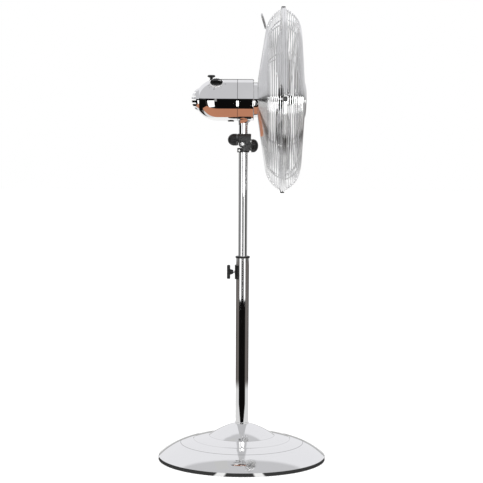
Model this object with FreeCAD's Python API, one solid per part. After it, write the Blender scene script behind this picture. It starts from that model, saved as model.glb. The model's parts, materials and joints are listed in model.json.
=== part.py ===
import FreeCAD, Part
import math
import os
from FreeCAD import Vector

# Pedestal fan. Millimetres, +Z up, +X the way the air goes.
# The origin is the middle of the base, on the floor, under the pole.

# ---- driving dimensions -------------------------------------------------
# fits and gaps
RUN = 0.05            # radial clearance of a running fit
GAP = 0.3             # clearance between pieces that move past each other
SEAT = 0.05           # hairline between two pieces of one body

# base
BASE_R = 204.0
RIM_BOTTOM = 0.6
RIM_TOP = 9.0
SHOULDER_R = 118.0
SHOULDER_Z = 49.0
STEP_UP = 1.1
CREASE_R = 80.0
CREASE_Z = 57.5
BASE_TOP_R = 20.0
BASE_TOP_Z = 87.0
BASE_WALL = 1.6
FOOT_H = 6.0
FOOT_R = 10.0
FOOT_CIRCLE = 176.0
FOOT_COUNT = 6
PLATE_T = 2.0
WEIGHT_R = 150.0
WEIGHT_H = 14.0
BASE_BOLT_R = 5.0
SPACER_R = 11.0
BOLT_HEAD_H = 4.5
FOOT_COLLAR_H = 4.0
FOOT_COLLAR_WALL = 1.4

# poles
POLE_R = 16.0
POLE_WALL = 1.5
POLE_LENGTH = 407.0
PLUG_H = 24.0
MAST_R = 11.0
MAST_WALL = 1.5
MAST_SHOWN = 252.0
MAST_HIDDEN = 150.0
BUSH_DEPTH = 26.0
BUSH_FLANGE_H = 5.0
BUSH_FLANGE_R = 17.5
GUIDE_H = 15.0

# height clamp on the lower pole
CLAMP_DROP = 34.0     # clamp screw below the pole's top
SADDLE_H = 34.0
SADDLE_T = 3.0
SADDLE_HALF_ANGLE = 50.0
CLAMP_SCREW_R = 3.0
CLAMP_HUB_OUT = 7.0   # pole surface to the hub
CLAMP_HUB_R = 7.0
CLAMP_HUB_L = 7.0
CLAMP_BAR_L = 34.0
CLAMP_BAR_T = 8.0
CLAMP_BAR_W = 11.0

# tilt joint
PIVOT_X = -2.0
PIVOT_UP = 20.0       # pivot above the socket's bottom
PIVOT_PIN_R = 3.0
TONGUE_R = 9.0
TONGUE_W = 17.0
TILT_DOWN = 12.0      # degrees
CHEEK_T = 5.0
SOCKET_R = 14.5
SOCKET_GRIP = 9.0
SOCKET_FRONT = 19.0
SOCKET_TOP_UP = 5.0   # top of the front web above the pivot
YOKE_BOTTOM_UP = 12.5
YOKE_TOP_UP = 25.0
YOKE_REAR = 12.0
YOKE_NOSE = 7.0       # bevel that clears the tilt knob
TILT_KNOB_R = 16.0
TILT_KNOB_L = 17.0
NECK_KNOB_R = 14.5
NECK_KNOB_L = 22.0
KNOB_SCREW_R = 3.0

# neck and swivel
NECK_R = 10.5
NECK_H = 20.5
SPIGOT_R = 5.0
SPIGOT_UP = 5.5       # spigot's end above the pivot
SWIVEL_PIN_R = 6.0
SWIVEL_BUSH_WALL = 3.0
BOSS_H = 10.5
BOSS_FRONT = 25.0
BOSS_REAR = 13.0
BOSS_HALF_W = 20.0
ARM_T = 2.0
ARM_UP = 3.4          # arm above the inside of the housing
LINK_T = 2.0
LINK_OFFSET = 12.0    # fixed pin of the link, beside the swivel
CRANK_THROW = 8.0
JOGGLE = 56.0         # where the link steps up, from its fixed end

# motor housing
HOUSING_R = 50.0
HOUSING_WALL = 1.5
HOUSING_FRONT = 25.0
SEAM_X = -14.5
SEAM_GAP = 0.5
LIP_L = 6.0
LIP_T = 0.9
DOME_X = -62.0
DOME_LENGTH = 54.0
VENT_R = 28.0
VENT_BULGE = 18.5
VENT_WALL = 1.6
VENT_SLOT = 3.6
VENT_PITCH = 8.6
VENT_SLOTS = 5
GLAND_X = -30.0
GLAND_R = 6.0

# motor
SHAFT_R = 4.0
SHAFT_REAR = -86.0
ROTOR_R = 21.0
AIR_GAP = 0.4
STATOR_R = 36.0
STACK_REAR = -30.0
STACK_FRONT = 6.0
WINDING_L = 10.0
BELL_T = 4.0
BELL_R = 47.6
BEARING_R = 8.0
BEARING_L = 10.0
TIE_BOLT_R = 2.0

# worm gear
WORM_X = -78.0
WORM_PITCH_R = 5.6
WORM_L = 11.0
GEAR_MODULE = 0.8
GEAR_TEETH = 25
GEAR_T = 5.0
TOOTH_DEPTH = 1.1
CLUTCH_SHAFT_R = 2.5
CASE_REAR = -91.0
CASE_WALL = 2.0
CASE_GAP = 3.4        # gearbox to the rear bell

# capacitor
CAP_X = -52.0
CAP_L = 10.0

# controls
DIAL_X = -65.0
DIAL_UP_DEG = 55.0
DIAL_R = 14.5
DIAL_H = 11.0
BEZEL_WALL = 2.4
BEZEL_DEEP = 4.8
BEZEL_PROUD = 0.8
PULL_R = 9.5
PULL_CAP_H = 5.0
PULL_TOP = 60.0       # top of the pull knob above the motor axis
PULL_STEM_R = 3.6
PULL_ROD_R = 2.2

# guard
COLLAR_FRONT = 35.0
COLLAR_R = 42.0
MOUNT_R = 30.0
MOUNT_FRONT = 47.0
GUARD_R = 220.0
RIM_X = 95.0
HOOP_R = 2.0
RING_R = 1.0
RIB_R = 1.5
WIRE_SIDES = 12
RING_PITCH = 6.2
RING_INNER = 51.0
RIBS = 12
FRONT_ARCH_R = 58.6
FRONT_ARCH_START = 73.8
FRONT_RAKE = 4.2
REAR_ARCH_R = 64.2
REAR_ARCH_START = 69.1
REAR_RAKE = 8.9
BADGE_R = 43.0
BADGE_T = 6.0
REAR_RIB_END = 44.0
REAR_PLATE_T = 1.5
FRONT_RIB_END = 36.0
CLIP_COUNT = 4
HANDLE_HALF_W = 34.0
HANDLE_FOOT_R = 176.0
HANDLE_TOP_R = 205.0
HANDLE_BACK = 10.0
HANDLE_WIRE_R = 1.75

# blades
BLADE_R = 196.0
BLADE_X = 96.0
BLADE_T = 1.4
BLADES = 3
HUB_R = 30.0
HUB_L = 24.0
SPINNER_R = 13.0
SPINNER_L = 14.0

# ---- places worked out from them ---------------------------------------
POLE_BOTTOM = BASE_TOP_Z
POLE_TOP = POLE_BOTTOM + POLE_LENGTH
POLE_BORE = POLE_R - POLE_WALL
BUSH_TOP = POLE_TOP + BUSH_FLANGE_H
CLAMP_Z = POLE_TOP - CLAMP_DROP
SOCKET_Z = BUSH_TOP + MAST_SHOWN
MAST_BOTTOM = BUSH_TOP - MAST_HIDDEN
MAST_TOP = SOCKET_Z + SOCKET_GRIP
PIVOT_Z = SOCKET_Z + PIVOT_UP
YOKE_BOTTOM = PIVOT_Z + YOKE_BOTTOM_UP
YOKE_TOP = PIVOT_Z + YOKE_TOP_UP
NECK_TOP = YOKE_TOP + NECK_H
BOSS_BOTTOM = NECK_TOP + GAP
AXIS_Z = BOSS_BOTTOM + BOSS_H + HOUSING_R
HOUSING_BORE = HOUSING_R - HOUSING_WALL
PLATE_Z = FOOT_H
WEIGHT_Z = PLATE_Z + PLATE_T
CHEEK_Y = TONGUE_W / 2 + GAP
YOKE_HALF_W = CHEEK_Y + CHEEK_T
ARM_TOP = -HOUSING_BORE + ARM_UP + ARM_T
LINK_Z = ARM_TOP + GAP
GEAR_PITCH_R = GEAR_MODULE * GEAR_TEETH / 2
GEAR_Y = WORM_PITCH_R + GEAR_PITCH_R
CRANK_Z = -31.0
REAR_BELL = STACK_REAR - WINDING_L - BELL_T - 2
FRONT_BELL = STACK_FRONT + WINDING_L + 2

O = Vector(0, 0, 0)
X = Vector(1, 0, 0)
Y = Vector(0, 1, 0)
Z = Vector(0, 0, 1)
AXIS = Vector(0, 0, AXIS_Z)


# ---- helpers -------------------------------------------------------------
def rod(radius, length, at, along):
    return Part.makeCylinder(radius, length, at, along)


def tube(outer, inner, length, at, along):
    return rod(outer, length, at, along).cut(rod(inner, length, at, along))


def block(x0, x1, y0, y1, z0, z1):
    return Part.makeBox(x1 - x0, y1 - y0, z1 - z0, Vector(x0, y0, z0))


def line(a, b):
    return Part.LineSegment(a, b).toShape()


def arc(a, b, c):
    return Part.Arc(a, b, c).toShape()


def chain(points):
    return [line(a, b) for a, b in zip(points, points[1:])]


def turned(edges, at, along):
    """Solid of revolution of a closed outline."""
    return Part.Face(Part.Wire(edges)).revolve(at, along, 360)


def turned_x(outline):
    """Turn a polygon of (x, radius) about the motor's axis."""
    points = [Vector(x, 0, AXIS_Z + r) for x, r in outline]
    return turned(chain(points + points[:1]), AXIS, X)


def around(shape, count, at, along, start=0.0):
    """Copies of a solid, evenly spaced about an axis."""
    copies = []
    for i in range(count):
        copy = shape.copy()
        copy.rotate(at, along, start + 360.0 * i / count)
        copies.append(copy)
    return copies


def crown(edge, top):
    """Quarter-ellipse curve from an edge point to the point where it closes on the axis."""
    corner = Vector(0, 0, edge.z) if top.x == 0 else Vector(edge.x, 0, top.z)
    points = []
    for i in range(9):
        t = math.radians(90 * i / 8)
        points.append(corner + (edge - corner) * math.cos(t) + (top - corner) * math.sin(t))
    curve = Part.BSplineCurve()
    curve.interpolate(points)
    return curve.toShape()


def pipe(edges, radius):
    """Round bar along a smooth path."""
    path = Part.Wire(edges)
    first = path.Edges[0]
    at = first.valueAt(first.FirstParameter)
    along = first.tangentAt(first.FirstParameter)
    if (at - path.OrderedVertexes[0].Point).Length > 1e-6:
        at = first.valueAt(first.LastParameter)
        along = first.tangentAt(first.LastParameter) * -1
    section = Part.Wire(Part.Circle(at, along, radius).toShape())
    return path.makePipeShell([section], True, False)


def hexagon(across, height, at):
    """Hexagonal prism standing on Z."""
    corner = across / math.sqrt(3)
    turns = [math.radians(60 * i) for i in range(7)]
    points = [at + Vector(corner * math.cos(t), corner * math.sin(t), 0) for t in turns]
    return Part.Face(Part.Wire(chain(points))).extrude(Z * height)


def lobed(radius, lobes, depth, length):
    """Grip with scalloped sides, standing on Z at the origin."""
    body = rod(radius, length, O, Z)
    flute = rod(depth * 1.6, length, Vector(radius + depth * 0.6, 0, 0), Z)
    return body.cut(Part.makeCompound(around(flute, lobes, O, Z)))


def placed(shape, at, along):
    """Stand a shape built on +Z along another direction."""
    copy = shape.copy()
    copy.Placement = FreeCAD.Placement(at, FreeCAD.Rotation(Z, along)).multiply(copy.Placement)
    return copy


# ---- base ----------------------------------------------------------------
def base_skin(drop):
    """Outer curve of the base, moved inwards by drop."""
    s = drop
    rim = Vector(BASE_R - s, 0, RIM_TOP)
    mid_r, mid_z = (BASE_R + SHOULDER_R) / 2, (RIM_TOP + SHOULDER_Z) / 2
    outer_mid = Vector(mid_r + 4 - 0.4 * s, 0, mid_z + 5.5 - 0.9 * s)
    shoulder = Vector(SHOULDER_R + 1 - 0.2 * s, 0, SHOULDER_Z - s)
    step = Vector(SHOULDER_R - 1 - 0.2 * s, 0, SHOULDER_Z + STEP_UP - s)
    inner_mid = Vector((SHOULDER_R + CREASE_R) / 2, 0, (SHOULDER_Z + STEP_UP + CREASE_Z) / 2 + 0.6 - s)
    crease = Vector(CREASE_R - 0.2 * s, 0, CREASE_Z - s)
    cone_mid = Vector((CREASE_R + BASE_TOP_R) / 2 - 0.4 * s, 0, (CREASE_Z + BASE_TOP_Z) / 2 + 3.0 - 0.9 * s)
    top = Vector(BASE_TOP_R, 0, BASE_TOP_Z - s)
    edges = [arc(rim, outer_mid, shoulder), line(shoulder, step)]
    edges += [arc(step, inner_mid, crease), arc(crease, cone_mid, top)]
    return rim, edges, top


def base_cover():
    rim, outer, top = base_skin(0)
    in_rim, inner, in_top = base_skin(BASE_WALL)
    hole = BASE_BOLT_R + 0.5
    top_edge = Vector(hole, 0, BASE_TOP_Z)
    in_top_edge = Vector(hole, 0, BASE_TOP_Z - BASE_WALL)
    low = Vector(BASE_R, 0, RIM_BOTTOM)
    in_low = Vector(BASE_R - BASE_WALL, 0, RIM_BOTTOM)
    edges = [line(low, rim)] + outer + [line(top, top_edge), line(top_edge, in_top_edge)]
    edges += [line(in_top_edge, in_top)] + inner[::-1] + [line(in_rim, in_low), line(in_low, low)]
    return turned(Part.__sortEdges__(edges), O, Z)


def base_plate():
    plate = rod(BASE_R - BASE_WALL - SEAT, PLATE_T, Vector(0, 0, PLATE_Z), Z)
    return plate.cut(rod(BASE_BOLT_R + 0.5, PLATE_T, Vector(0, 0, PLATE_Z), Z))


def base_weight():
    ring = rod(WEIGHT_R, WEIGHT_H, Vector(0, 0, WEIGHT_Z), Z)
    return ring.cut(rod(SPACER_R + 4, WEIGHT_H, Vector(0, 0, WEIGHT_Z), Z))


def base_feet():
    foot = Part.makeCone(FOOT_R, FOOT_R - 1.5, FOOT_H, Vector(FOOT_CIRCLE, 0, 0), Z)
    return around(foot, FOOT_COUNT, O, Z, 30.0)


def base_spacer():
    height = BASE_TOP_Z - BASE_WALL - WEIGHT_Z
    return tube(SPACER_R, BASE_BOLT_R + 0.5, height, Vector(0, 0, WEIGHT_Z), Z)


def base_bolt():
    reach = POLE_BOTTOM + PLUG_H - 4 - PLATE_Z
    shank = rod(BASE_BOLT_R, reach, Vector(0, 0, PLATE_Z), Z)
    return shank.fuse(hexagon(16, BOLT_HEAD_H, Vector(0, 0, PLATE_Z - BOLT_HEAD_H)))


def pole_plug():
    plug = rod(POLE_BORE, PLUG_H, Vector(0, 0, POLE_BOTTOM), Z)
    return plug.cut(rod(BASE_BOLT_R, PLUG_H - 4, Vector(0, 0, POLE_BOTTOM), Z))


def foot_collar():
    ring = tube(POLE_R + FOOT_COLLAR_WALL, POLE_R, FOOT_COLLAR_H, Vector(0, 0, POLE_BOTTOM), Z)
    top = [e for e in ring.Edges if abs(e.BoundBox.ZMin - POLE_BOTTOM - FOOT_COLLAR_H) < 1e-6]
    outer = [e for e in top if e.Curve.Radius > POLE_R + FOOT_COLLAR_WALL / 2]
    return ring.makeFillet(FOOT_COLLAR_WALL * 0.7, outer)


# ---- poles and height clamp ----------------------------------------------
def lower_pole():
    pole = tube(POLE_R, POLE_BORE, POLE_LENGTH, Vector(0, 0, POLE_BOTTOM), Z)
    hole = rod(CLAMP_SCREW_R + GAP, POLE_R, Vector(-POLE_R - 1, 0, CLAMP_Z), X)
    return pole.cut(hole)


def pole_bush():
    bore = MAST_R + RUN
    skirt = tube(POLE_BORE, bore, BUSH_DEPTH, Vector(0, 0, POLE_TOP - BUSH_DEPTH), Z)
    flange = tube(BUSH_FLANGE_R, bore, BUSH_FLANGE_H, Vector(0, 0, POLE_TOP), Z)
    whole = skirt.fuse(flange).removeSplitter()
    round_edges = [e for e in whole.Edges if hasattr(e.Curve, "Radius")]
    rim = [e for e in round_edges if abs(e.Curve.Radius - BUSH_FLANGE_R) < 1e-6]
    return whole.makeFillet(BUSH_FLANGE_H * 0.3, rim)


def clamp_saddle():
    low = CLAMP_Z - SADDLE_H / 2
    wrap = Part.makeCylinder(POLE_R + SADDLE_T, SADDLE_H, Vector(0, 0, low), Z, 2 * SADDLE_HALF_ANGLE)
    wrap.rotate(O, Z, 180 - SADDLE_HALF_ANGLE)
    wrap = wrap.cut(rod(POLE_R + SEAT, SADDLE_H, Vector(0, 0, low), Z))
    return wrap.cut(rod(CLAMP_SCREW_R + GAP, 2 * POLE_R, Vector(-2 * POLE_R, 0, CLAMP_Z), X))


def t_knob():
    hub_x = -POLE_R - CLAMP_HUB_OUT
    hub = Part.makeCone(CLAMP_HUB_R * 0.72, CLAMP_HUB_R, CLAMP_HUB_L, Vector(hub_x, 0, CLAMP_Z), X * -1)
    bar_x = hub_x - CLAMP_HUB_L
    half = CLAMP_BAR_L / 2
    wide = CLAMP_BAR_W / 2
    bar = block(bar_x - CLAMP_BAR_T, bar_x, -wide, wide, CLAMP_Z - half, CLAMP_Z + half)
    bar = bar.makeFillet(min(CLAMP_BAR_T, CLAMP_BAR_W) * 0.3, bar.Edges)
    return bar.fuse(hub).removeSplitter()


def height_knob():
    back = -POLE_R - CLAMP_HUB_OUT + SEAT
    return t_knob(), rod(CLAMP_SCREW_R, -MAST_R - GAP - back, Vector(back, 0, CLAMP_Z), X)


def mast_tube():
    length = MAST_TOP - MAST_BOTTOM
    return tube(MAST_R, MAST_R - MAST_WALL, length, Vector(0, 0, MAST_BOTTOM), Z)


def mast_guide():
    return tube(POLE_BORE - RUN, MAST_R, GUIDE_H, Vector(0, 0, MAST_BOTTOM), Z)


# ---- tilt joint ------------------------------------------------------------
def pivot_rod(radius, half_length):
    return rod(radius, 2 * half_length, Vector(PIVOT_X, -half_length, PIVOT_Z), Y)


def mast_socket():
    sleeve_top = PIVOT_Z - TONGUE_R - 2 * GAP
    sleeve = rod(SOCKET_R, sleeve_top - SOCKET_Z, Vector(0, 0, SOCKET_Z), Z)
    web_top = PIVOT_Z + SOCKET_TOP_UP
    body = block(PIVOT_X, SOCKET_FRONT, -YOKE_HALF_W, YOKE_HALF_W, SOCKET_Z + 4, web_top)
    body = body.fuse([sleeve, pivot_rod(TONGUE_R - 1, YOKE_HALF_W)])
    body = body.cut(pivot_rod(TONGUE_R + GAP, CHEEK_Y))
    swing = (web_top - PIVOT_Z) * math.sin(math.radians(TILT_DOWN)) + 1.0
    back, front = PIVOT_X - TONGUE_R - 2, PIVOT_X + TONGUE_R + swing
    clear = block(back, front, -CHEEK_Y, CHEEK_Y, PIVOT_Z, web_top + 1)
    body = body.cut([clear, rod(MAST_R, SOCKET_GRIP, Vector(0, 0, SOCKET_Z), Z)])
    screw = rod(KNOB_SCREW_R + GAP, 2 * SOCKET_FRONT, Vector(PIVOT_X, 0, PIVOT_Z - 4), X)
    body = body.cut([screw, pivot_rod(PIVOT_PIN_R + SEAT, YOKE_HALF_W + 1)])
    return body.removeSplitter()


def pivot_bolt():
    reach = YOKE_HALF_W + SEAT
    shank = pivot_rod(PIVOT_PIN_R, reach)
    head = rod(PIVOT_PIN_R * 1.7, 2.6, Vector(PIVOT_X, -reach, PIVOT_Z), Y * -1)
    head = head.makeFillet(1.2, [e for e in head.Edges if abs(e.BoundBox.YMax + reach + 2.6) < 1e-6])
    return shank.fuse(head)


def pivot_nut():
    nut = hexagon(10, 4.5, O).cut(rod(PIVOT_PIN_R, 4.5, O, Z))
    return placed(nut, Vector(PIVOT_X, YOKE_HALF_W + SEAT, PIVOT_Z), Y)


def socket_screw():
    """Screw that pinches the socket on the mast, with a bright nut on the near side."""
    at = Vector(-MAST_R + 1.5, -SOCKET_R + 1.0, SOCKET_Z + SOCKET_GRIP / 2)
    return rod(2.6, 3.4, at, Y * -1)


def round_knob(radius, length, lobes):
    """Domed grip on +Z, flat end at the origin."""
    foot, skirt, top = Vector(radius, 0, 0), Vector(radius, 0, length * 0.3), Vector(0, 0, length)
    outline = [line(O, foot), line(foot, skirt), crown(skirt, top), line(top, O)]
    flutes = rod(radius * 0.11, length, Vector(radius * 1.03, 0, 0), Z)
    return turned(outline, O, Z).cut(Part.makeCompound(around(flutes, lobes, O, Z)))


def tilt_knob():
    at = Vector(SOCKET_FRONT + GAP, 0, PIVOT_Z - 4)
    tip = PIVOT_X + TONGUE_R + GAP
    knob = placed(round_knob(TILT_KNOB_R, TILT_KNOB_L, 12), at, X)
    return [knob, rod(KNOB_SCREW_R, at.x - SEAT - tip, Vector(tip, 0, at.z), X)]


def neck_knob():
    z = PIVOT_Z + 10.5
    at = Vector(-YOKE_REAR + PIVOT_X + GAP * -1 - 1.0, 0, z)
    knob = placed(round_knob(NECK_KNOB_R, NECK_KNOB_L, 12), at, X * -1)
    tip = -SPIGOT_R - GAP
    return [knob, rod(KNOB_SCREW_R, tip - at.x - SEAT, Vector(at.x + SEAT, 0, z), X)]


def tilt_yoke():
    head = block(PIVOT_X - YOKE_REAR, SOCKET_FRONT, -YOKE_HALF_W, YOKE_HALF_W, YOKE_BOTTOM, YOKE_TOP)
    head = head.makeFillet(2.5, [e for e in head.Edges if e.BoundBox.ZMin > YOKE_TOP - 1e-6])
    low_nose = Vector(SOCKET_FRONT - YOKE_NOSE, 0, YOKE_BOTTOM)
    nose = [low_nose, Vector(SOCKET_FRONT, 0, YOKE_BOTTOM + YOKE_NOSE)]
    nose = chain(nose + [Vector(SOCKET_FRONT, 0, YOKE_BOTTOM), nose[0]])
    head = head.cut(Part.Face(Part.Wire(nose)).extrude(Y * YOKE_HALF_W).fuse(
        Part.Face(Part.Wire(nose)).extrude(Y * -YOKE_HALF_W)))
    half = TONGUE_W / 2
    stem = block(PIVOT_X - YOKE_REAR, PIVOT_X + TONGUE_R, -half, half, PIVOT_Z, YOKE_BOTTOM)
    body = head.fuse([stem, pivot_rod(TONGUE_R, half)])
    heel = block(PIVOT_X - YOKE_REAR, PIVOT_X - TONGUE_R, -half, half, PIVOT_Z - 1, PIVOT_Z + 3)
    spigot = rod(SPIGOT_R + SEAT, YOKE_TOP, Vector(0, 0, PIVOT_Z + SPIGOT_UP), Z)
    screw = rod(KNOB_SCREW_R + GAP, 2 * YOKE_REAR, Vector(-2 * YOKE_REAR, 0, PIVOT_Z + 10.5), X)
    return body.cut([heel, spigot, screw, pivot_rod(PIVOT_PIN_R + RUN, half + 1)]).removeSplitter()


def neck_post():
    post = rod(NECK_R, NECK_H, Vector(0, 0, YOKE_TOP), Z)
    low = PIVOT_Z + SPIGOT_UP
    post = post.fuse(rod(SPIGOT_R, YOKE_TOP - low, Vector(0, 0, low), Z))
    return post.cut(rod(SWIVEL_PIN_R, NECK_H - 4, Vector(0, 0, YOKE_TOP + 4), Z))


# ---- swivel and oscillation link ------------------------------------------
def swivel_pin():
    low = YOKE_TOP + 4
    return rod(SWIVEL_PIN_R, AXIS_Z + ARM_TOP - low, Vector(0, 0, low), Z)


def swivel_arm():
    """Fixed arm on the pin, with the stud that holds the link."""
    low = AXIS_Z + ARM_TOP - ARM_T
    plate = block(-5, 5, 0, LINK_OFFSET, low, low + ARM_T)
    plate = plate.fuse([rod(9.0, ARM_T, Vector(0, 0, low), Z),
                        rod(5, ARM_T, Vector(0, LINK_OFFSET, low), Z)])
    stud = rod(2.0, ARM_T + GAP + LINK_T + 1, Vector(0, LINK_OFFSET, low), Z)
    return plate.fuse(stud).cut(rod(SWIVEL_PIN_R + SEAT / 2, ARM_T, Vector(0, 0, low), Z)).removeSplitter()


def swivel_bush():
    inner = SWIVEL_PIN_R + RUN
    top = AXIS_Z + ARM_TOP - ARM_T - GAP
    return tube(inner + SWIVEL_BUSH_WALL, inner, top - BOSS_BOTTOM, Vector(0, 0, BOSS_BOTTOM), Z)


def neck_boss():
    """Flared foot under the motor housing, longer to the front."""
    low = Part.Wire(Part.Circle(Vector(0, 0, BOSS_BOTTOM), Z, NECK_R + 1).toShape())
    middle = (BOSS_FRONT - BOSS_REAR) / 2
    long = (BOSS_FRONT + BOSS_REAR) / 2
    waist = low.copy()
    waist.translate(Z * (BOSS_H * 0.45))
    flat = Part.Wire(Part.Circle(O, Z, 1).toShape())
    wide = FreeCAD.Matrix()
    wide.scale(long, BOSS_HALF_W, 1)
    top = flat.transformGeometry(wide)
    top.translate(Vector(middle, 0, BOSS_BOTTOM + BOSS_H + HOUSING_R * 0.12))
    flare = Part.makeLoft([waist, top], True, False)
    body = flare.fuse(rod(NECK_R + 1, BOSS_H * 0.45, Vector(0, 0, BOSS_BOTTOM), Z))
    shell = rod(HOUSING_R + SEAT, 300, Vector(-150, 0, AXIS_Z), X)
    bush = rod(SWIVEL_PIN_R + RUN + SWIVEL_BUSH_WALL + SEAT, 80, Vector(0, 0, BOSS_BOTTOM - 1), Z)
    return body.cut([shell, bush]).removeSplitter()


def link_ends():
    fixed = Vector(0, LINK_OFFSET, AXIS_Z + LINK_Z)
    crank = Vector(WORM_X, GEAR_Y - CRANK_THROW, AXIS_Z + CRANK_Z - GAP - LINK_T)
    return fixed, crank


def oscillation_link():
    """Joggled strip from the fixed stud to under the crank."""
    fixed, crank = link_ends()
    along = Vector(crank.x - fixed.x, crank.y - fixed.y, 0)
    length = along.Length
    low, high = fixed.z, crank.z
    side = [(-5, low), (JOGGLE, low), (JOGGLE + 10, high), (length + 5, high), (length + 5, high + LINK_T)]
    side += [(JOGGLE + 9, high + LINK_T), (JOGGLE - 1, low + LINK_T), (-5, low + LINK_T)]
    points = [Vector(s, -4, z - low) for s, z in side]
    strip = Part.Face(Part.Wire(chain(points + points[:1]))).extrude(Y * 8)
    strip = strip.cut([rod(2.0 + RUN, 60, Vector(0, 0, -30), Z), rod(2.6, 60, Vector(length, 0, -30), Z)])
    strip.rotate(O, Z, math.degrees(math.atan2(along.y, along.x)))
    strip.translate(fixed)
    return strip


# ---- motor housing ----------------------------------------------------------
def dome_radius(x, radius, length):
    """Radius of the dome's ellipse at x."""
    share = max(0.0, 1 - ((DOME_X - x) / length) ** 2)
    return radius * math.sqrt(share)


def dome_curve(radius, length, end_radius):
    """Curve from the dome's shoulder to where its radius is end_radius."""
    last = math.acos(min(1.0, end_radius / radius))
    points = []
    for i in range(13):
        t = last * i / 12
        points.append(Vector(DOME_X - length * math.sin(t), 0, AXIS_Z + radius * math.cos(t)))
    curve = Part.BSplineCurve()
    curve.interpolate(points)
    return points, curve.toShape()


def rear_housing():
    front = SEAM_X - SEAM_GAP / 2
    out_points, outer = dome_curve(HOUSING_R, DOME_LENGTH, VENT_R)
    in_points, inner = dome_curve(HOUSING_BORE, DOME_LENGTH - HOUSING_WALL, VENT_R)
    edges = [line(Vector(front, 0, AXIS_Z + HOUSING_R), out_points[0]), outer]
    edges += [line(out_points[-1], in_points[-1]), inner]
    edges += [line(in_points[0], Vector(front, 0, AXIS_Z + HOUSING_BORE))]
    edges += [line(Vector(front, 0, AXIS_Z + HOUSING_BORE), Vector(front, 0, AXIS_Z + HOUSING_R))]
    shell = turned(Part.__sortEdges__(edges), AXIS, X)
    stem = rod(PULL_STEM_R + GAP, 90, Vector(WORM_X, GEAR_Y, AXIS_Z), Z)
    gland = rod(GLAND_R, 20, Vector(GLAND_X, 0, AXIS_Z - HOUSING_R - 10), Z)
    return shell.cut([dial_hole(), stem, gland])


def front_housing():
    rear = SEAM_X + SEAM_GAP / 2
    lip = HOUSING_BORE - SEAT
    shell = turned_x([(SEAM_X - LIP_L, lip - LIP_T), (SEAM_X - LIP_L, lip), (rear, lip), (rear, HOUSING_R),
                      (HOUSING_FRONT - 2, HOUSING_R), (HOUSING_FRONT, HOUSING_R - 2),
                      (HOUSING_FRONT, MOUNT_R),
                      (HOUSING_FRONT - HOUSING_WALL, MOUNT_R), (HOUSING_FRONT - HOUSING_WALL, HOUSING_BORE),
                      (rear + LIP_T, HOUSING_BORE), (rear + LIP_T, lip - LIP_T)])
    bush_r = SWIVEL_PIN_R + RUN + SWIVEL_BUSH_WALL + SEAT
    bush = rod(bush_r, HOUSING_R, Vector(0, 0, AXIS_Z - 1.5 * HOUSING_R), Z)
    return shell.cut(bush)


def rear_vent():
    """Louvred cap at the tail of the housing."""
    base = DOME_X - DOME_LENGTH * math.sqrt(1 - (VENT_R / HOUSING_R) ** 2) + 3.0
    radius = VENT_R - SEAT
    bulge = VENT_BULGE + 3.0
    low, high = Vector(base, 0, AXIS_Z + radius), Vector(base - bulge, 0, AXIS_Z)
    in_low, in_high = low - Z * VENT_WALL, high + X * VENT_WALL
    edges = [crown(low, high), line(high, in_high), crown(in_low, in_high), line(in_low, low)]
    cap = turned(Part.__sortEdges__(edges), AXIS, X)
    slots = []
    for i in range(VENT_SLOTS):
        z = AXIS_Z + (i - (VENT_SLOTS - 1) / 2) * VENT_PITCH
        half = math.sqrt(max(1.0, (radius - 3.5) ** 2 - (z - AXIS_Z) ** 2))
        slots.append(block(base - bulge - 5, base - 4, -half, half, z - VENT_SLOT / 2, z + VENT_SLOT / 2))
    return cap.cut(slots)


def cable_gland():
    """Strain bush under the housing, where the mains lead goes in."""
    at = Vector(GLAND_X, 0, AXIS_Z - HOUSING_R)
    body = rod(GLAND_R - SEAT, 5, at + Z * -1.5, Z)
    flange = Part.makeCone(GLAND_R + 1.0, GLAND_R + 2.0, 2.2, at + Z * -2.3, Z)
    flange = flange.cut(rod(HOUSING_R + SEAT, 60, Vector(GLAND_X - 30, 0, AXIS_Z), X))
    return body.fuse(flange).cut(rod(3.4, 12, at + Z * -4, Z)).removeSplitter()


# ---- motor --------------------------------------------------------------------
def bell(x, notch):
    plate = tube(BELL_R, BEARING_R, BELL_T, Vector(x, 0, AXIS_Z), X)
    cuts = [block(x - 1, x + BELL_T + 1, -8, 26, AXIS_Z - HOUSING_R, AXIS_Z - STATOR_R + 1)] if notch else []
    cuts += around(rod(6.5, BELL_T, Vector(x, 0, AXIS_Z + 24), X), 6, AXIS, X, 30)
    cuts += around(tie_rod(x - 1, BELL_T + 2, TIE_BOLT_R + SEAT), 4, AXIS, X, 45)
    return plate.cut(cuts)


def tie_rod(x, length, radius):
    return rod(radius, length, Vector(x, 0, AXIS_Z + STATOR_R + TIE_BOLT_R + 0.3), X)


def tie_bolts():
    reach = FRONT_BELL + BELL_T + 1 - REAR_BELL
    bolt = tie_rod(REAR_BELL - SEAT, reach, TIE_BOLT_R)
    bolt = bolt.fuse(tie_rod(REAR_BELL - 3, 3 - SEAT, TIE_BOLT_R * 1.8))
    return around(bolt, 4, AXIS, X, 45)


def bearing(x):
    return tube(BEARING_R, SHAFT_R + RUN, BEARING_L, Vector(x, 0, AXIS_Z), X)


def stator_core():
    length = STACK_FRONT - STACK_REAR
    ring = tube(STATOR_R, ROTOR_R + AIR_GAP, length, Vector(STACK_REAR, 0, AXIS_Z), X)
    slot = block(STACK_REAR, STACK_FRONT, -1.6, 1.6, AXIS_Z + ROTOR_R, AXIS_Z + ROTOR_R + 9)
    return ring.cut(around(slot, 16, AXIS, X))


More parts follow.
